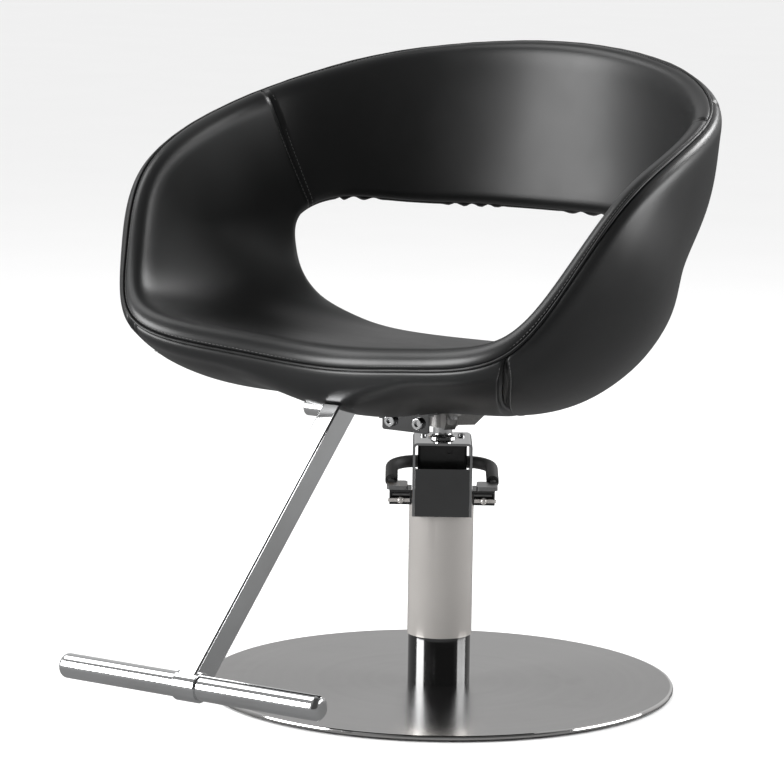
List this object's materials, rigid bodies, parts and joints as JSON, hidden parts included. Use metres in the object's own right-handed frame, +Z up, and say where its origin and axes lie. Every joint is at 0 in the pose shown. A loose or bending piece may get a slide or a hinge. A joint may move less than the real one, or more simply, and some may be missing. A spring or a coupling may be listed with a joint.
{
  "type": "hydraulic styling chair",
  "caption": "Salon styling chair: black tub seat with an open window under the back, T-shaped footrest, pump column with foot loop and a round floor plate.",
  "frame": {"origin": "centre of the floor plate's underside, on the pump's axis", "axes": "+Z up along the pump's ram, the seat faces -Y, +X to the left hand of the sitter; the seat, tub and footrest are symmetric about X = 0, and the pump head is turned 33.2 degrees about Z"},
  "size_m": [0.7409, 0.8545, 0.812],
  "materials": {
    "rubber_pad": "matt black rubber",
    "weight_steel": "oiled steel plate",
    "brushed_stainless": "circular brushed stainless",
    "zinc_fasteners": "bright zinc",
    "mirror_chrome": "polished chrome plate",
    "satin_steel": "satin stainless",
    "pump_steel": "ground steel",
    "black_casting": "gloss black paint",
    "bronze": "machined bronze",
    "seal_rubber": "moulded rubber",
    "grip_rubber": "ribbed black rubber",
    "cast_alloy": "as-cast grey alloy",
    "plywood": "moulded beech ply",
    "black_upholstery": "black leatherette, low sheen"
  },
  "bodies": {
    "base": {"floor_pad": "rubber_pad", "base_weight_plate": "weight_steel", "base_cover_skin": "brushed_stainless", "base_bolts": "zinc_fasteners", "pump_flange": "weight_steel", "lower_tube": "mirror_chrome", "upper_sleeve": "satin_steel", "pump_reservoir": "pump_steel", "pump_barrel": "pump_steel", "barrel_foot_ring": "weight_steel", "head_block": "black_casting", "ram_bush": "bronze", "head_yoke": "mirror_chrome", "shaft_bearings": "bronze", "ram_collar": "mirror_chrome", "ram_wiper": "seal_rubber", "yoke_screws": "zinc_fasteners", "head_front_plate": "mirror_chrome", "release_plate": "black_casting"},
    "lift": {"piston": "pump_steel", "piston_seal": "seal_rubber"},
    "seat": {"ram": "mirror_chrome", "seat_spider": "cast_alloy", "spider_bolts": "zinc_fasteners", "spider_spacers": "zinc_fasteners", "tee_nuts": "zinc_fasteners", "seat_board": "plywood", "front_bracket": "mirror_chrome", "bracket_mount_screws": "zinc_fasteners", "bracket_spacers": "zinc_fasteners", "bracket_screws": "mirror_chrome", "bracket_nuts": "zinc_fasteners", "footrest_arm": "mirror_chrome", "footrest_collar": "mirror_chrome", "footrest_bar": "mirror_chrome", "footrest_end_caps": "mirror_chrome", "footrest_seat_plate": "black_casting", "footrest_wood_block": "black_casting", "footrest_lock_stub": "mirror_chrome", "footrest_plate_bolts": "zinc_fasteners", "seat_cushion": "black_upholstery", "right_arm_cushion": "black_upholstery", "left_arm_cushion": "black_upholstery", "back_cushion": "black_upholstery", "seat_shell": "plywood", "back_shell": "plywood", "outer_front_panel": "black_upholstery", "outer_right_panel": "black_upholstery", "outer_back_panel": "black_upholstery", "outer_left_panel": "black_upholstery"},
    "pedal": {"pedal_shaft": "pump_steel", "pedal_housings": "black_casting", "pedal_straps": "satin_steel", "pedal_screws": "satin_steel", "pedal_rod": "pump_steel", "pedal_grip": "grip_rubber", "pedal_cam": "pump_steel"},
    "pump_plunger": {"plunger": "pump_steel", "plunger_spring": "pump_steel"}
  },
  "joints": [
    {"name": "seat_lift", "type": "slide", "parent": "base", "child": "lift", "axis": [0, 0, 1], "range_m": [0, 0.15]},
    {"name": "seat_swivel", "type": "hinge", "parent": "lift", "child": "seat", "pos_m": [0, 0, 0.34], "axis": [0, 0, 1], "continuous": true},
    {"name": "pedal_hinge", "type": "hinge", "parent": "base", "child": "pedal", "pos_m": [0.02081, -0.0318, 0.256], "axis": [0.8368, 0.5476, 0], "range_deg": [-15, 0], "stiffness_Nm_per_rad": 3, "springref_deg": 20.05},
    {"name": "plunger_slide", "type": "slide", "parent": "base", "child": "pump_plunger", "axis": [0, 0, 1], "range_m": [-0.0035, 0], "deforming": ["plunger_spring"]}
  ],
  "couplings": [
    {"joint": "plunger_slide", "follows": "pedal_hinge", "m_per_rad": 0.012}
  ]
}
